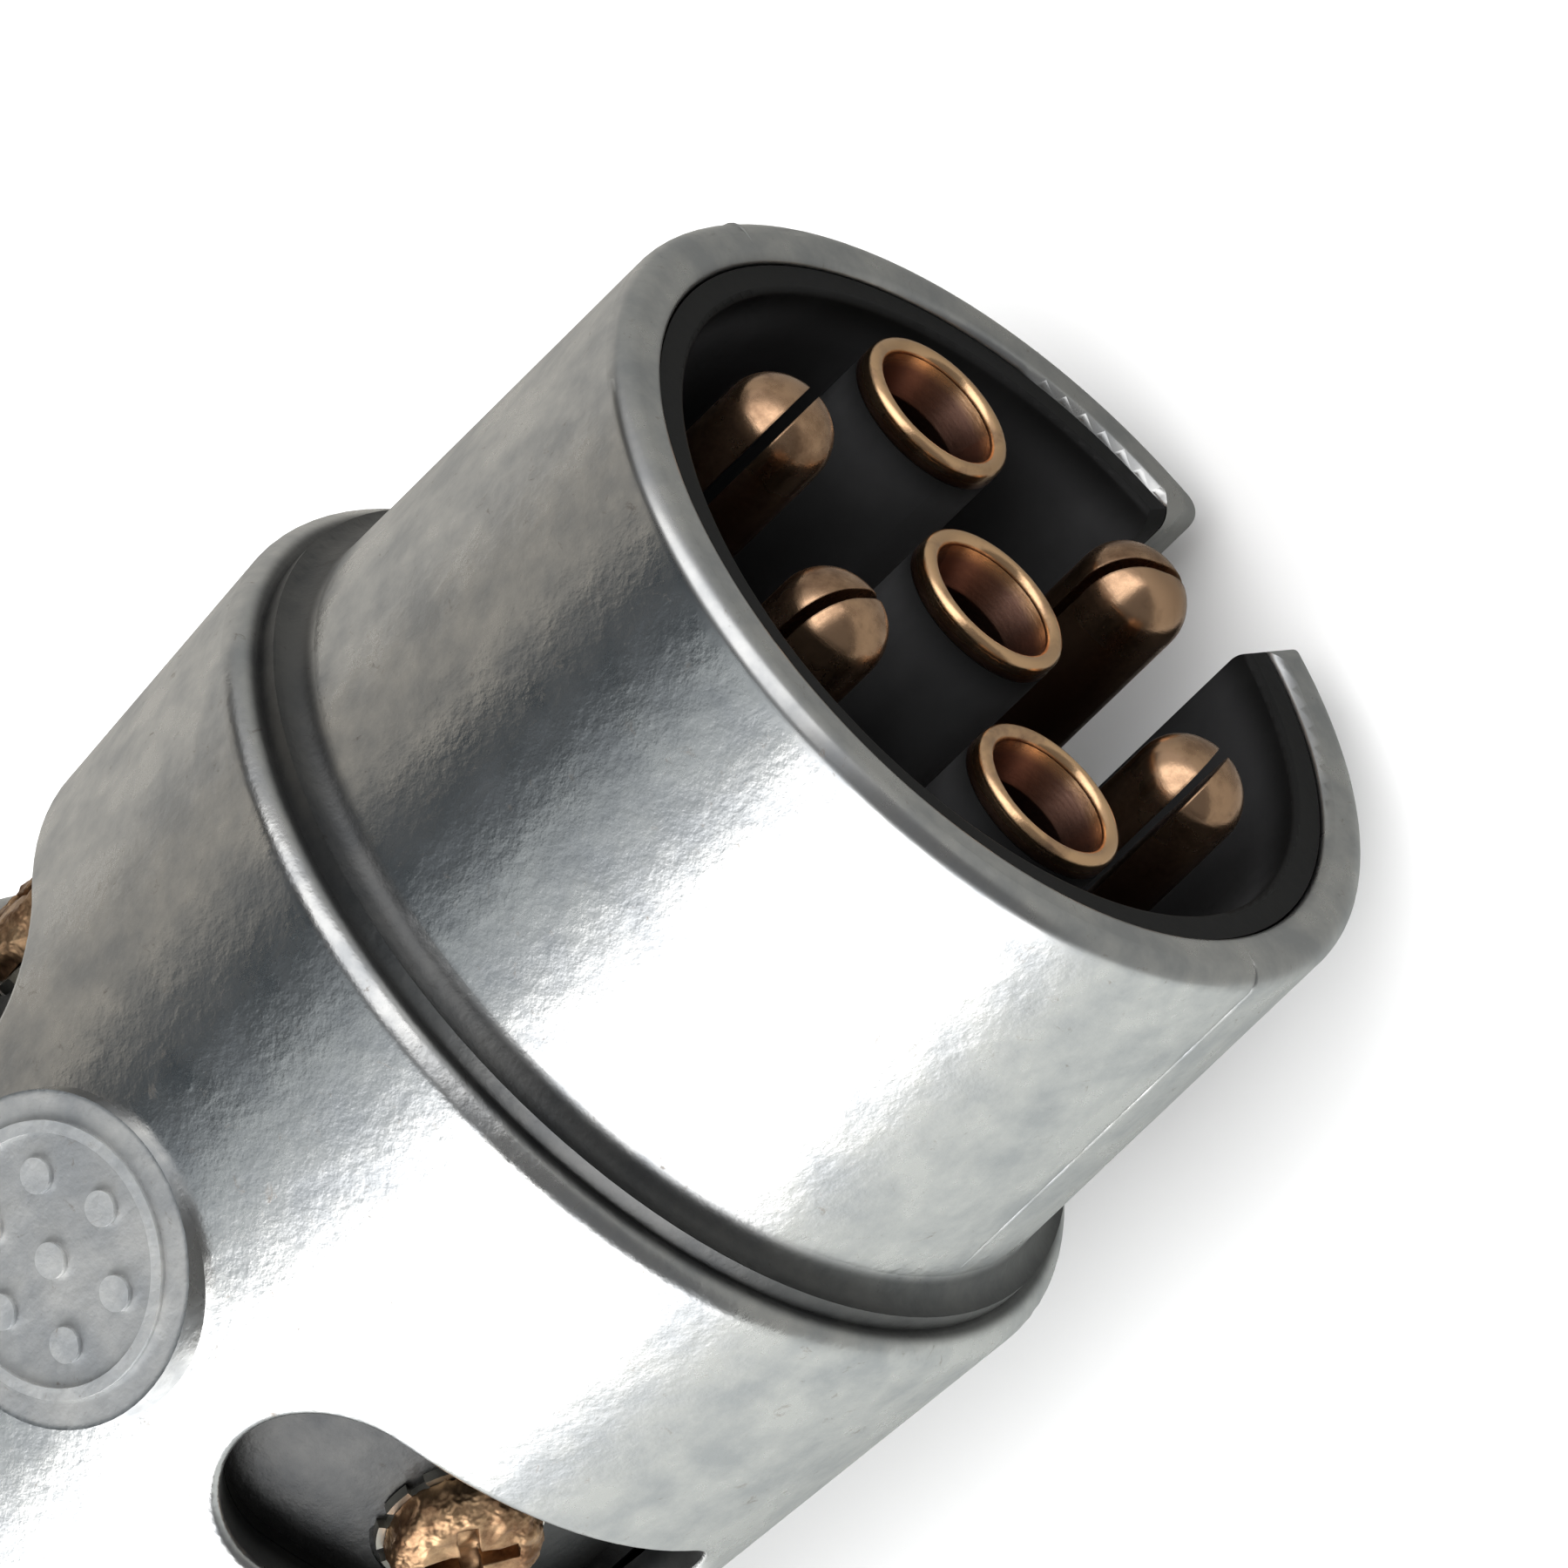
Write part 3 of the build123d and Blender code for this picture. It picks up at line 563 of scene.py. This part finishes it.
def turned(tree, section, steps):
    """Sweeps a half section round the plug's axis. Gives the turned geometry."""
    rail = add(tree, "GeometryNodeCurvePrimitiveCircle", {"Resolution": steps, "Radius": 1e-7}).outputs[0]
    profile = add(tree, "GeometryNodeMeshToCurve", {"Mesh": section}).outputs[0]
    ring = add(tree, "GeometryNodeCurveToMesh", {"Curve": rail, "Profile Curve": profile}).outputs[0]
    return add(tree, "GeometryNodeTransform", {"Geometry": ring, "Rotation": (0.0, -pi / 2, 0.0)}).outputs[0]


def fluted_tree(finish):
    """Turned ring whose outside is cut by round flutes."""
    tree, sizes, output = grower("fluted_ring", {
        "Flutes": 14, "Outer radius": 0.016, "Cutter radius": 0.0018, "Flute depth": 0.0009,
        "Flutes end": -0.055, "Steps round": 336})
    ring = turned(tree, sizes["Geometry"], sizes["Steps round"])
    place = add(tree, "GeometryNodeInputPosition").outputs[0]
    xyz = separate(tree, place)
    across = add(tree, "ShaderNodeVectorMath", {0: place, 1: (0.0, 1.0, 1.0)}, operation="MULTIPLY")
    radius = from_axis(tree, place)
    pitch = maths(tree, "DIVIDE", 2 * pi, sizes["Flutes"])
    half = maths(tree, "MULTIPLY", pitch, 0.5)
    turn = maths(tree, "ARCTAN2", xyz["Y"], xyz["Z"])
    off = maths(tree, "WRAP", turn, half, maths(tree, "MULTIPLY", half, -1.0))
    aside = maths(tree, "MULTIPLY", off, sizes["Outer radius"])
    cutter = sizes["Cutter radius"]
    square = maths(tree, "SUBTRACT", maths(tree, "POWER", cutter, 2.0), maths(tree, "POWER", aside, 2.0))
    chord = maths(tree, "SQRT", maths(tree, "MAXIMUM", square, 0.0))
    above = maths(tree, "SUBTRACT", cutter, sizes["Flute depth"])
    cut = maths(tree, "MAXIMUM", maths(tree, "SUBTRACT", chord, above), 0.0)
    cut = maths(tree, "MULTIPLY", cut, share_between(
        tree, maths(tree, "SUBTRACT", sizes["Flutes end"], xyz["X"]), -flute_ease, flute_ease))
    allowed = maths(tree, "SUBTRACT", sizes["Outer radius"], cut)
    left = maths(tree, "DIVIDE", maths(tree, "MINIMUM", radius, allowed), radius)
    sink = add(tree, "ShaderNodeVectorMath", {
        0: across.outputs[0], "Scale": maths(tree, "SUBTRACT", left, 1.0)}, operation="SCALE").outputs[0]
    end_tree(tree, add(tree, "GeometryNodeSetPosition", {"Geometry": ring, "Offset": sink}).outputs[0],
             finish, output)
    return tree


# %% Fluted nut
nut_mesh = grow("fluted_nut", fluted_tree(metal), {
    "Outer radius": nut_high.z, "Flutes end": nut_high.x - nut_collar}, nut_section)
print("nut", reach(nut_mesh))
keep("fluted_nut", nut_mesh, "gland_nut", ["gland_nut"])

# %% [markdown]
# ## Rolled lips of the sleeves
# The mouth of each sleeve ends in a round bead that guides the pin in. A bead is one small circle swept
# round a larger one. The three sleeves stand in a row, so the tree sweeps one bead and instances it on
# three points of a line.

# %% Rolled lips
left_low, left_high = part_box("socket_contact_left")
right_low, right_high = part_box("socket_contact_right")
left_middle = Vector((0, (left_low.y + left_high.y) / 2, (left_low.z + left_high.z) / 2))
right_middle = Vector((0, (right_low.y + right_high.y) / 2, (right_low.z + right_high.z) / 2))
lip_radius = (left_high.y - left_low.y) / 2
bead_radius = 0.40 * mm
bead_ahead = 0.1 * mm


def rolled_lip_tree(finish):
    """Beads on a line of points, facing along X."""
    tree, sizes, output = grower("rolled_lips", {
        "Count": 3, "Bead radius": 0.0004, "Lip radius": 0.0039, "Place along": 0.02,
        "First Y": 0.01, "First Z": 0.0, "Step Y": -0.01, "Step Z": 0.0})
    middle = maths(tree, "SUBTRACT", sizes["Lip radius"], sizes["Bead radius"])
    rail = add(tree, "GeometryNodeCurvePrimitiveCircle", {"Resolution": 96, "Radius": middle}).outputs[0]
    wire = add(tree, "GeometryNodeCurvePrimitiveCircle", {
        "Resolution": 20, "Radius": sizes["Bead radius"]}).outputs[0]
    bead = add(tree, "GeometryNodeCurveToMesh", {"Curve": rail, "Profile Curve": wire}).outputs[0]
    facing = add(tree, "GeometryNodeTransform", {
        "Geometry": bead, "Rotation": (0.0, pi / 2, 0.0)}).outputs[0]
    first = add(tree, "ShaderNodeCombineXYZ", {
        "X": sizes["Place along"], "Y": sizes["First Y"], "Z": sizes["First Z"]}).outputs[0]
    step = add(tree, "ShaderNodeCombineXYZ", {"Y": sizes["Step Y"], "Z": sizes["Step Z"]}).outputs[0]
    row = add(tree, "GeometryNodeMeshLine", {
        "Count": sizes["Count"], "Start Location": first, "Offset": step}).outputs[0]
    beads = add(tree, "GeometryNodeInstanceOnPoints", {"Points": row, "Instance": facing}).outputs[0]
    end_tree(tree, beads, finish, output)
    return tree


step = (right_middle - left_middle) / 2
lip_mesh = grow("rolled_lips", rolled_lip_tree(sleeve_brass), {
    "Bead radius": bead_radius, "Lip radius": lip_radius, "Place along": lip_x - bead_radius + bead_ahead,
    "First Y": left_middle.y, "First Z": left_middle.z, "Step Y": step.y, "Step Z": step.z})
print("beads", reach(lip_mesh))
keep("rolled_lips", lip_mesh, "plug")

# %% [markdown]
# ## Rear cover with a thinner neck
# The nut runs on a screw thread cut into the cover's neck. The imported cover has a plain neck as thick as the
# thread's crests, so a copy of it gets a thinner core, and the thread is laid on that in the next step.
# Moving the points of a copy keeps the cover's screw holes and flange as they are.

# %% Rear cover with a thinner neck
cover_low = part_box("rear_housing")[0]
crest_radius = 11.98 * mm
root_radius = 11.32 * mm
neck_length = 14.0 * mm
thread_pitch = 1.5 * mm
neck_shoulder_x = cover_low.x + neck_length
cover_mesh = merged_copy("rear_housing")
for vertex in cover_mesh.vertices:
    radius = (vertex.co.y**2 + vertex.co.z**2) ** 0.5
    if vertex.co.x < neck_shoulder_x + 0.01 * mm and root_radius < radius < nut_bore:
        vertex.co.y *= root_radius / radius
        vertex.co.z *= root_radius / radius
cover_mesh.materials.clear()
cover_mesh.materials.append(metal)
keep("rear_cover", cover_mesh, "plug", ["rear_housing"])

# %% [markdown]
# ## Neck thread
# A thread is a ridge wound round a core: a spiral curve carries a small trapezoid along it. Boolean cuts
# would need a clean helix of faces, while a swept curve gives one at once and keeps its pitch as a number.
# A real die leaves both ends of a thread run out, so the ridge swells and fades over part of a turn.

# %% Neck thread
run_out = 20 * mm
thread_from_shoulder = 0.7 * mm
thread_margin = 1.7 * mm


def thread_tree(finish):
    """Spiral ridge with a tapering profile, along -X from a start."""
    tree, sizes, output = grower("screw_thread", {
        "Turns": 8.0, "Length": 0.012, "Root radius": 0.011, "Height": 0.0006, "Foot width": 0.0012,
        "Crest width": 0.0003, "Start": -0.05})
    spiral = add(tree, "GeometryNodeCurveSpiral", {
        "Resolution": 96, "Rotations": sizes["Turns"], "Start Radius": sizes["Root radius"],
        "End Radius": sizes["Root radius"], "Height": sizes["Length"]}).outputs[0]
    upright = add(tree, "GeometryNodeSetCurveNormal", {"Curve": spiral}, mode="Z_UP").outputs[0]
    along = add(tree, "GeometryNodeSplineParameter").outputs["Length"]
    total = maths(tree, "MULTIPLY", maths(tree, "MULTIPLY", sizes["Turns"], 2 * pi), sizes["Root radius"])
    to_end = maths(tree, "SUBTRACT", total, along)
    swell = share_between(tree, along, 0.0, run_out)
    fade = maths(tree, "MULTIPLY", swell, share_between(tree, to_end, 0.0, run_out))
    fade = maths(tree, "MAXIMUM", fade, 0.02)
    thinned = add(tree, "GeometryNodeSetCurveRadius", {"Curve": upright, "Radius": fade}).outputs[0]
    profile = add(tree, "GeometryNodeCurvePrimitiveQuadrilateral", {
        "Height": maths(tree, "MULTIPLY", sizes["Height"], 2.0), "Bottom Width": sizes["Foot width"],
        "Top Width": sizes["Crest width"], "Offset": 0.0}, mode="TRAPEZOID").outputs[0]
    standing = add(tree, "GeometryNodeTransform", {
        "Geometry": profile, "Rotation": (0.0, 0.0, pi / 2)}).outputs[0]
    ridge = add(tree, "GeometryNodeCurveToMesh", {
        "Curve": thinned, "Profile Curve": standing, "Scale": fade, "Fill Caps": True}).outputs[0]
    shift = add(tree, "ShaderNodeCombineXYZ", {"X": sizes["Start"]}).outputs[0]
    placed = add(tree, "GeometryNodeTransform", {
        "Geometry": ridge, "Rotation": (0.0, -pi / 2, 0.0), "Translation": shift}).outputs[0]
    end_tree(tree, placed, finish, output)
    return tree


thread_start = neck_shoulder_x - thread_from_shoulder
thread_length = neck_length - thread_margin
thread_mesh = grow("neck_thread", thread_tree(metal), {
    "Turns": thread_length / thread_pitch, "Length": thread_length, "Root radius": root_radius,
    "Height": crest_radius - root_radius, "Foot width": 1.9 * mm, "Crest width": 0.25 * mm,
    "Start": thread_start})
print("thread", reach(thread_mesh))
keep("neck_thread", thread_mesh, "plug")

# %% [markdown]
# ## Worn screws
# The screws in the pockets and at the rear have been turned often with a poor driver: their heads are
# chewed and their crosses ragged. Sculpting each would take long, so a tree cuts the faces of a packed
# screw finer and moves every point along its normal by a noise with coarse and fine detail. The wear depth
# is one named input, so brass heads get more of it than steel ones.

# %% Worn screws
highest_patch = 0.62


def worn_tree(finish):
    """Cuts a mesh finer and roughens it along its normals."""
    tree, sizes, output = grower("worn_faces", {"Wear depth": 0.0001, "Patch size": 0.001, "Cuts": 2})
    finer = add(tree, "GeometryNodeSubdivideMesh", {
        "Mesh": sizes["Geometry"], "Level": sizes["Cuts"]}).outputs[0]
    scale = maths(tree, "DIVIDE", 1.0, sizes["Patch size"])
    patches = add(tree, "ShaderNodeTexNoise", {"Scale": scale, "Detail": 3.0, "Roughness": 0.6}).outputs[0]
    depth = maths(tree, "MULTIPLY", maths(tree, "SUBTRACT", patches, highest_patch), sizes["Wear depth"])
    normal = add(tree, "GeometryNodeInputNormal").outputs[0]
    offset = add(tree, "ShaderNodeVectorMath", {0: normal, "Scale": depth}, operation="SCALE").outputs[0]
    end_tree(tree, add(tree, "GeometryNodeSetPosition", {"Geometry": finer, "Offset": offset}).outputs[0],
             finish, output)
    return tree


worn_brass_heads = grow("pocket_screws", worn_tree(screw_brass), {
    "Wear depth": 0.55 * mm, "Patch size": 0.9 * mm, "Cuts": 2}, merged_copy("carrier_screws"))
keep("pocket_screws", worn_brass_heads, "plug", ["carrier_screws"])
worn_steel_heads = grow("cover_screws", worn_tree(steel), {
    "Wear depth": 0.25 * mm, "Patch size": 1.1 * mm, "Cuts": 2}, merged_copy("rear_screws"))
keep("cover_screws", worn_steel_heads, "plug", ["rear_screws"])

# %% [markdown]
# ## Parting line
# The two halves of the casting die met along both sides of the shell, and left a low ragged ridge that
# tumbling wore down but did not remove. It follows the shell's own outline over barrel, rim and body, so it
# is laid as a thin four-cornered strip along those lines. Its height wanders a little as flash does.

# %% Parting line
barrel_radius = 21.0 * mm
rim_x = lip_x + 0.2 * mm
rim_round = 1.0 * mm
flash_width = 0.30 * mm
flash_top = 0.06 * mm
flash_height = 0.09 * mm
flash_root_mm = 0.06
body_flash = [(-7.0 * mm, -17.0 * mm), (-28.4 * mm, -38.6 * mm)]


def straight(start, end, step=0.5 * mm):
    """Points from start to end, each (x, radius)."""
    start, end = Vector(start), Vector(end)
    count = max(2, round((end - start).length / step))
    return [start.lerp(end, n / count) for n in range(count + 1)]


def add_strip(solid, path, side):
    """Adds a closed strip with a wandering ridge along a path in the plane of the parting line."""
    rings = []
    for number, point in enumerate(path):
        ahead = path[min(number + 1, len(path) - 1)] - path[max(number - 1, 0)]
        out = Vector((ahead.y, -ahead.x)).normalized()
        out = -out if out.y < 0 or (abs(out.y) < 1e-6 and out.x < 0) else out
        wander = 0.75 + 0.25 * sin(number * 1.7) * cos(number * 0.61)
        fade = min(1.0, number / 3, (len(path) - 1 - number) / 3)
        height = flash_height * wander * fade
        top = point + out * height
        foot = point - out * flash_root_mm * mm
        shape = [(foot, -flash_width / 2), (top, -flash_top / 2),
                 (top, flash_top / 2), (foot, flash_width / 2)]
        rings.append([solid.verts.new((p.x, side * p.y, z)) for p, z in shape])
    for ring, following in zip(rings, rings[1:]):
        for corner in range(4):
            beside = (corner + 1) % 4
            solid.faces.new((ring[corner], ring[beside], following[beside], following[corner]))
    solid.faces.new(rings[0])
    solid.faces.new(rings[-1][::-1])


rim_arc = [
    Vector((rim_x - rim_round + rim_round * sin(turn), barrel_radius - rim_round + rim_round * cos(turn)))
    for turn in (radians(degrees) for degrees in range(0, 91, 15))]
barrel_line = straight((0.4 * mm, barrel_radius), (rim_x - rim_round - 0.3 * mm, barrel_radius))
rim_line = [Vector((rim_x, barrel_radius - 1.3 * mm)), Vector((rim_x, barrel_radius - 1.7 * mm))]
lines = [barrel_line + rim_arc + rim_line]
lines += [straight((front, body_radius(front)), (rear, body_radius(rear))) for front, rear in body_flash]
strips = bmesh.new()
for side in (-1, 1):
    for line in lines:
        add_strip(strips, line, side)
strip_mesh = bpy.data.meshes.new("parting_line")
strips.to_mesh(strip_mesh)
strips.free()
strip_mesh.materials.append(metal)
keep("parting_line", strip_mesh, "plug", sharp=60)

# %% [markdown]
# ## Floor
# The plug lies on a plain white sweep. Bright metal shows what it reflects, and a white floor would wash out
# its lower half. A photographer lays grey cards beside the work, just outside the picture. Here the floor's
# colour does both: it is white to the eye, and glossy rays meet cards of three greys, chosen by which side
# of the plug a ray lands on.

# %% Floor
low, high = cad_box
floor_z = low.z - 0.2 * mm
floor_radius = 3.0
floor_mesh = bpy.data.meshes.new("floor")
outline = bmesh.new()
bmesh.ops.create_circle(outline, cap_ends=True, segments=96, radius=floor_radius,
                        matrix=Matrix.Translation((0, 0, floor_z)))
outline.to_mesh(floor_mesh)
outline.free()
floor = bpy.data.objects.new("floor", floor_mesh)
bpy.context.scene.collection.objects.link(floor)
floor_finish, floor_tree, floor_shader, floor_place = new_finish("pale_floor", Roughness=0.9)
floor_xyz = separate(floor_tree, floor_place)
paper = ramp(floor_tree, noise(floor_tree, floor_place, 300.0), [(0.2, 0.88), (0.8, 0.92)])
ahead = share_between(floor_tree, floor_xyz["X"], 5 * mm, 30 * mm)
far_side = share_between(floor_tree, floor_xyz["Y"], -10 * mm, 15 * mm)
cards = mix(floor_tree, far_side, (0.43, 0.445, 0.43), (0.28, 0.27, 0.25))
cards = mix(floor_tree, ahead, cards, (0.18, 0.18, 0.17))
reflected = add(floor_tree, "ShaderNodeLightPath").outputs["Is Glossy Ray"]
floor_tree.links.new(mix(floor_tree, reflected, paper, cards), floor_shader.inputs["Base Color"])
floor.data.materials.append(floor_finish)
print("floor at", round(floor_z / mm, 1), "mm")

# %% [markdown]
# ## Sky and lamp
# The light is planned as a product studio plans it: a large soft box on the near side, a dark card past the
# top, a paler wall beyond, and a gap between the boxes ahead of the plug. A sky shader paints them as soft
# bands by the angle round the plug's axis, since a turned shape reflects along that angle. Painted light has
# no grain and no edges. A high lamp that leaves no glint then lights the floor evenly.

# %% Sky and lamp
sky_strength = 4.0
backdrop = (0.24, 0.24, 0.24)
world = bpy.data.worlds.new("studio_sky")
bpy.context.scene.world = world
world.use_nodes = True
sky = world.node_tree
direction = separate(sky, add(sky, "ShaderNodeTexCoord").outputs["Generated"])
toward_near_side = maths(sky, "MULTIPLY", direction["Y"], -1.0)
angle = maths(sky, "ARCTAN2", direction["Z"], toward_near_side)
over_the_top = maths(sky, "DIVIDE", angle, pi)
dark_card = (0.006, 0.009, 0.012)
far_wall = (0.108, 0.102, 0.092)
beside = ramp(sky, over_the_top, [
    (0.00, 0.30), (0.04, 1.0), (0.37, 1.0), (0.42, (0.16, 0.17, 0.175)), (0.58, (0.12, 0.13, 0.135)),
    (0.63, dark_card), (0.76, dark_card), (0.80, far_wall), (1.00, far_wall)])
ahead_of_plug = ramp(sky, over_the_top, [
    (0.00, 0.04), (0.40, 0.04), (0.50, 0.45), (0.76, 0.45), (0.84, 0.12), (1.00, 0.12)])
along = maths(sky, "MULTIPLY_ADD", direction["X"], 0.5, 0.5)
gap = ramp(sky, along, [(0.35, 1.0), (0.42, 0.10), (0.55, 0.10), (0.63, 1.0)])
in_front = ramp(sky, along, [(0.42, 0.0), (0.56, 1.0)])
sky_light = mix(sky, 1.0, mix(sky, in_front, beside, ahead_of_plug), gap, blend="MULTIPLY")
seen_by_eye = add(sky, "ShaderNodeLightPath").outputs["Is Camera Ray"]
sky_light = mix(sky, seen_by_eye, sky_light, backdrop)
background = sky.nodes["Background"]
sky.links.new(sky_light, background.inputs["Color"])
background.inputs["Strength"].default_value = sky_strength


def soft_box(name, toward, distance, width, height, watts):
    """Area light that faces the middle of the plug from a direction."""
    data = bpy.data.lights.new(name, "AREA")
    data.shape = "RECTANGLE"
    data.size, data.size_y, data.energy = width, height, watts
    light = bpy.data.objects.new(name, data)
    bpy.context.scene.collection.objects.link(light)
    back = Vector(toward).normalized()
    turn = back.to_track_quat("Z", "Y").to_matrix().to_4x4()
    light.matrix_world = Matrix.Translation((low + high) / 2 + back * distance) @ turn
    return light


fill = soft_box("floor_lamp", (0.1, 0.15, 1.0), 1.6, 2.2, 2.2, 46)
fill.visible_glossy = False
print("sky and lamp ready")

# %% [markdown]
# ## Camera
# A long lens from a metre away shows the plug as a catalogue does, with little perspective. Two directions
# set the camera: the way back to the lens and the way to the picture's right. The mouth of the plug sits
# right of the middle and above it, and the lens follows from how much of the plug is to fill the frame.

# %% Camera
view_back = Vector((0.459, -0.304, 0.834)).normalized()
view_right = Vector((0.638, -0.541, -0.548)).normalized()
view_up = view_back.cross(view_right).normalized()
mouth_to_right, mouth_up, seen_width = 9.345 * mm, 8.202 * mm, 67.4 * mm
mouth = Vector((20.8, 0, 0)) * mm
rightward, upward = Vector((0.638, -0.541, -0.548)), Vector((0.618, 0.784, -0.054))
target = mouth - mouth_to_right * rightward - mouth_up * upward
distance = 1.0
camera_data = bpy.data.cameras.new("camera")
camera_data.sensor_width = 36
camera_data.lens = camera_data.sensor_width * distance / seen_width
camera_data.clip_start, camera_data.clip_end = 0.01, 20
camera = bpy.data.objects.new("camera", camera_data)
bpy.context.scene.collection.objects.link(camera)
turn = Matrix((view_right, view_up, view_back)).transposed().to_4x4()
camera.matrix_world = Matrix.Translation(target + view_back * distance) @ turn
bpy.context.scene.camera = camera
bpy.context.scene.view_settings.view_transform = "Standard"
print("camera lens", round(camera_data.lens), "mm")
